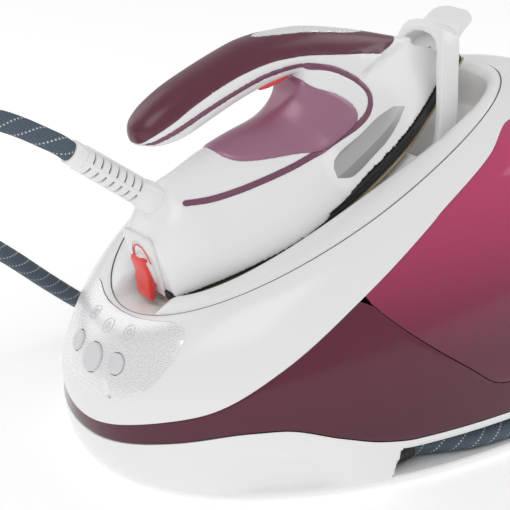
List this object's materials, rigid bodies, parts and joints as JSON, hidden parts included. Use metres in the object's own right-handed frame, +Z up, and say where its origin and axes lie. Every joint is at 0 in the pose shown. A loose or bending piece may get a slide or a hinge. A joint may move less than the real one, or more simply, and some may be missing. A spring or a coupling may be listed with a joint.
{
  "type": "steam generator iron",
  "caption": "Steam generator iron resting on its base, with lock hoop, slide-off water tank, push-button panel, steam trigger, flush lever and hose stowed round the base.",
  "frame": {"origin": "middle of the base's footprint, on the surface it stands on, measured without the hose", "axes": "+Z up, -Y towards the control panel and the iron's heel, +X to the right of someone facing the control panel, the side the hose is fixed on"},
  "size_m": [0.4412, 0.5775, 0.2664],
  "materials": {
    "white_gloss": "gloss",
    "burgundy_gloss": "gloss",
    "skirt_tint": "gloss, slightly see-through",
    "tank_tint": "clear tinted",
    "mauve_satin": "satin, soft touch",
    "brushed_panel": "brushed",
    "grey_button": "satin",
    "red_clear": "gloss",
    "sole_metal": "satin",
    "cast_aluminium": "as cast",
    "black_plastic": "satin",
    "rubber": "matt",
    "steel": "machined",
    "brass": "machined",
    "board_green": "matt",
    "slate_textile": "woven sleeve"
  },
  "bodies": {
    "base": {"base_pan": "white_gloss", "board_block": "black_plastic", "boiler": "cast_aluminium", "boiler_heater": "steel", "boiler_plug": "brass", "boiler_stand": "black_plastic", "button_board": "board_green", "control_board": "board_green", "control_panel": "brushed_panel", "cord_inlet": "black_plastic", "deck_plate": "white_gloss", "foot_front_left": "rubber", "foot_front_right": "rubber", "foot_rear_left": "rubber", "foot_rear_right": "rubber", "hose_gland": "black_plastic", "inlet_tube": "rubber", "lock_shaft": "steel", "lower_skirt": "skirt_tint", "outlet_pipe": "brass", "pump": "black_plastic", "pump_coil": "brass", "rest_pad_front": "rubber", "rest_pad_left": "rubber", "rest_pad_rear": "rubber", "rest_pad_right": "rubber", "screw_front_left": "steel", "screw_front_right": "steel", "screw_rear_left": "steel", "screw_rear_right": "steel", "solenoid_valve": "steel", "steam_hose": "slate_textile", "steam_pipe": "brass", "transformer": "steel", "upper_shell": "white_gloss", "valve_seal": "rubber", "valve_socket": "white_gloss"},
    "iron": {"iron_body": "white_gloss", "saddle": "mauve_satin", "handle_grip": "burgundy_gloss", "top_inlay": "brushed_panel", "trigger_pin": "steel", "trigger_switch": "black_plastic", "soleplate": "sole_metal", "heater_block": "cast_aluminium", "heat_shield": "black_plastic", "steam_tube": "rubber", "terminal_block": "white_gloss", "heel_plate": "white_gloss", "scale_collector": "white_gloss", "hose_boot": "white_gloss"},
    "trigger": {"steam_trigger": "red_clear"},
    "lever": {"collector_lever": "red_clear"},
    "hoop": {"lock_hoop": "white_gloss"},
    "tank": {"water_tank": "tank_tint", "tank_valve": "black_plastic"},
    "lid": {"tank_lid": "tank_tint"},
    "power": {"power_button": "grey_button"},
    "ok": {"ok_button": "grey_button"},
    "steam": {"steam_button": "grey_button"}
  },
  "joints": [
    {"name": "iron_lift", "type": "slide", "parent": "base", "child": "iron", "axis": [0, -0.9397, 0.3419], "range_m": [0, 0.09], "deforming": ["steam_hose"]},
    {"name": "lock_swing", "type": "hinge", "parent": "base", "child": "hoop", "pos_m": [0, 0.0366, 0.1646], "axis": [-1, 0, 0], "range_deg": [0, 20]},
    {"name": "trigger_press", "type": "hinge", "parent": "iron", "child": "trigger", "pos_m": [0, -0.07357, 0.24477], "axis": [-1, 0, 0], "range_deg": [0, 5], "stiffness_Nm_per_rad": 1.2, "springref_deg": -5.73},
    {"name": "lever_open", "type": "hinge", "parent": "iron", "child": "lever", "pos_m": [0, -0.16772, 0.1092], "axis": [1, 0, 0], "range_deg": [0, 45]},
    {"name": "tank_slide", "type": "slide", "parent": "base", "child": "tank", "axis": [0, 1, 0], "range_m": [0, 0.12]},
    {"name": "lid_open", "type": "hinge", "parent": "tank", "child": "lid", "pos_m": [0, 0.1905, 0.1965], "axis": [1, 0, 0], "range_deg": [0, 80]},
    {"name": "power_button_press", "type": "slide", "parent": "base", "child": "power", "axis": [0.1761, 0.8776, -0.4458], "range_m": [0, 0.001], "stiffness_N_per_m": 900, "springref_m": -0.0015},
    {"name": "ok_button_press", "type": "slide", "parent": "base", "child": "ok", "axis": [0, 0.9052, -0.4251], "range_m": [0, 0.001], "stiffness_N_per_m": 900, "springref_m": -0.0015},
    {"name": "steam_button_press", "type": "slide", "parent": "base", "child": "steam", "axis": [-0.1761, 0.8776, -0.4458], "range_m": [0, 0.001], "stiffness_N_per_m": 900, "springref_m": -0.0015}
  ]
}
